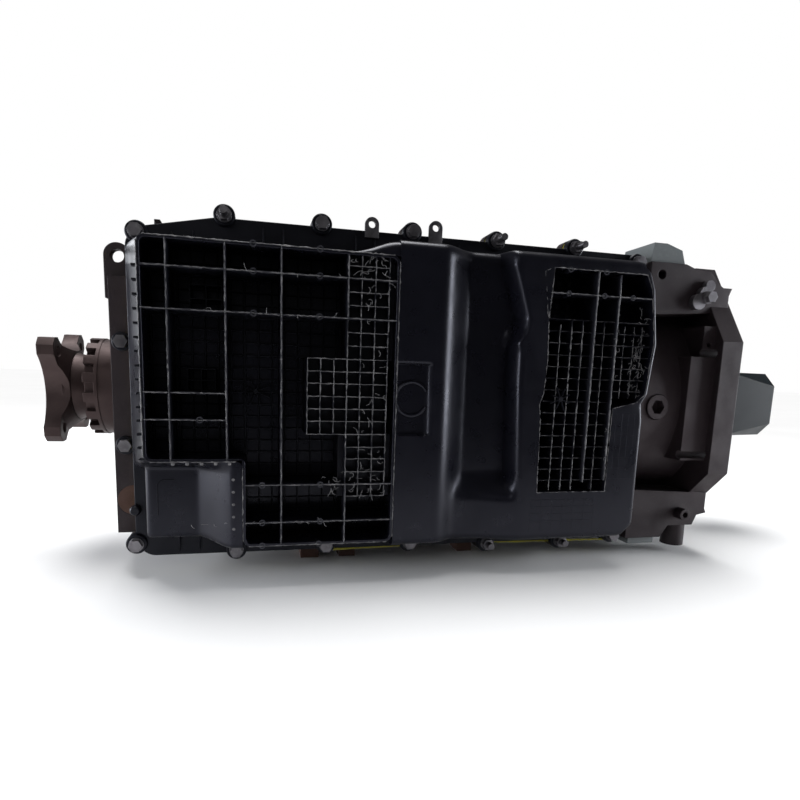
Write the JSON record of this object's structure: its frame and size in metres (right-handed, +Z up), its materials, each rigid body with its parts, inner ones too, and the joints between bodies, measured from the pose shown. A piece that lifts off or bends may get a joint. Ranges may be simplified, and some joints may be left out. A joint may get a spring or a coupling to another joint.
{
  "type": "planetary gearbox",
  "caption": "Long cast gearbox lying on cast feet, ribbed plastic oil pan on its side, scalloped output flange, open bell housing and capped input shaft.",
  "frame": {"origin": "centre of the output flange's mating face, on the shaft line", "axes": "+X along the shaft line from the output flange to the input shaft, -Y out through the oil pan, +Z up when it stands on its feet"},
  "size_m": [1.063, 0.376, 0.414],
  "materials": {
    "cast_paint": "satin paint over a fine cast grain",
    "pan_plastic": "semi-gloss glass-filled plastic",
    "flange_steel": "bare forged steel with a brown tarnish",
    "zinc_steel": "dark zinc",
    "gear_steel": "ground",
    "bush_brass": "plain",
    "lining": "friction lining",
    "gasket_rubber": "moulded",
    "seal_rubber": "moulded",
    "cap_plastic": "smooth",
    "pale_plastic": "smooth",
    "foot_iron": "rough",
    "valve_alloy": "cast"
  },
  "bodies": {
    "housing": {"main_housing": "cast_paint", "foot_pads": "foot_iron", "rear_housing": "cast_paint", "bell_housing": "cast_paint", "oil_pan": "pan_plastic", "pan_gasket": "gasket_rubber", "valve_block": "valve_alloy", "oil_strainer": "pan_plastic", "pan_screws": "zinc_steel", "pan_stud_screws": "zinc_steel", "rear_housing_screws": "zinc_steel", "lug_washer": "zinc_steel", "lug_screw": "zinc_steel", "filler_plug": "cast_paint", "rear_port_plug": "foot_iron", "breather_pipe": "cast_paint", "drain_valve": "cast_paint", "lower_plug": "pale_plastic", "loom_connector": "pale_plastic", "loom_eyelets": "zinc_steel", "ring_gear_1": "gear_steel", "ring_gear_2": "gear_steel", "brake_steel_plates": "gear_steel", "output_bearing": "gear_steel", "output_seal": "seal_rubber", "input_seal": "seal_rubber", "front_support": "valve_alloy", "pump_cover": "valve_alloy", "pump_pin": "gear_steel"},
    "output": {"output_flange": "flange_steel", "pulse_wheel": "flange_steel", "flange_nut": "zinc_steel", "output_shaft": "gear_steel", "output_carrier_plate": "gear_steel", "planet_pins_2": "gear_steel"},
    "intermediate": {"input_carrier": "gear_steel", "input_carrier_plate": "gear_steel", "planet_pins_1": "gear_steel", "brake_hub": "gear_steel", "brake_lined_plates": "lining", "sun_gear_2": "gear_steel"},
    "input": {"input_shaft": "gear_steel", "sun_gear_1": "gear_steel", "pump_drive_gear": "gear_steel"},
    "pump": {"pump_gear": "gear_steel"},
    "cap": {"input_cap": "cap_plastic"},
    "planet_2a": {"planet_gear_2a": "gear_steel", "planet_bush_2a": "bush_brass"},
    "planet_2b": {"planet_gear_2b": "gear_steel", "planet_bush_2b": "bush_brass"},
    "planet_2c": {"planet_gear_2c": "gear_steel", "planet_bush_2c": "bush_brass"},
    "planet_1a": {"planet_gear_1a": "gear_steel", "planet_bush_1a": "bush_brass"},
    "planet_1b": {"planet_gear_1b": "gear_steel", "planet_bush_1b": "bush_brass"},
    "planet_1c": {"planet_gear_1c": "gear_steel", "planet_bush_1c": "bush_brass"}
  },
  "joints": [
    {"name": "output_spin", "type": "hinge", "parent": "housing", "child": "output", "pos_m": [0.1, 0, 0], "axis": [1, 0, 0], "continuous": true},
    {"name": "intermediate_spin", "type": "hinge", "parent": "housing", "child": "intermediate", "pos_m": [0.3, 0, 0], "axis": [1, 0, 0], "continuous": true},
    {"name": "input_spin", "type": "hinge", "parent": "housing", "child": "input", "pos_m": [0.8, 0, 0], "axis": [1, 0, 0], "continuous": true},
    {"name": "pump_spin", "type": "hinge", "parent": "housing", "child": "pump", "pos_m": [0.72, 0, -0.054], "axis": [1, 0, 0], "continuous": true},
    {"name": "cap_pull", "type": "slide", "parent": "input", "child": "cap", "axis": [1, 0, 0], "range_m": [0, 0.16]},
    {"name": "planet_2a_spin", "type": "hinge", "parent": "output", "child": "planet_2a", "pos_m": [0.197, 0.072, 0], "axis": [1, 0, 0], "continuous": true},
    {"name": "planet_2b_spin", "type": "hinge", "parent": "output", "child": "planet_2b", "pos_m": [0.197, -0.036, 0.06235], "axis": [1, 0, 0], "continuous": true},
    {"name": "planet_2c_spin", "type": "hinge", "parent": "output", "child": "planet_2c", "pos_m": [0.197, -0.036, -0.06235], "axis": [1, 0, 0], "continuous": true},
    {"name": "planet_1a_spin", "type": "hinge", "parent": "intermediate", "child": "planet_1a", "pos_m": [0.489, 0.072, 0], "axis": [1, 0, 0], "continuous": true},
    {"name": "planet_1b_spin", "type": "hinge", "parent": "intermediate", "child": "planet_1b", "pos_m": [0.489, -0.036, 0.06235], "axis": [1, 0, 0], "continuous": true},
    {"name": "planet_1c_spin", "type": "hinge", "parent": "intermediate", "child": "planet_1c", "pos_m": [0.489, -0.036, -0.06235], "axis": [1, 0, 0], "continuous": true}
  ],
  "couplings": [
    {"joint": "intermediate_spin", "follows": "output_spin", "ratio": 2.9091},
    {"joint": "input_spin", "follows": "output_spin", "ratio": 8.4628},
    {"joint": "pump_spin", "follows": "output_spin", "ratio": -16.926},
    {"joint": "planet_2a_spin", "follows": "output_spin", "ratio": -4.2},
    {"joint": "planet_2b_spin", "follows": "output_spin", "ratio": -4.2},
    {"joint": "planet_2c_spin", "follows": "output_spin", "ratio": -4.2},
    {"joint": "planet_1a_spin", "follows": "output_spin", "ratio": -12.218},
    {"joint": "planet_1b_spin", "follows": "output_spin", "ratio": -12.218},
    {"joint": "planet_1c_spin", "follows": "output_spin", "ratio": -12.218}
  ]
}
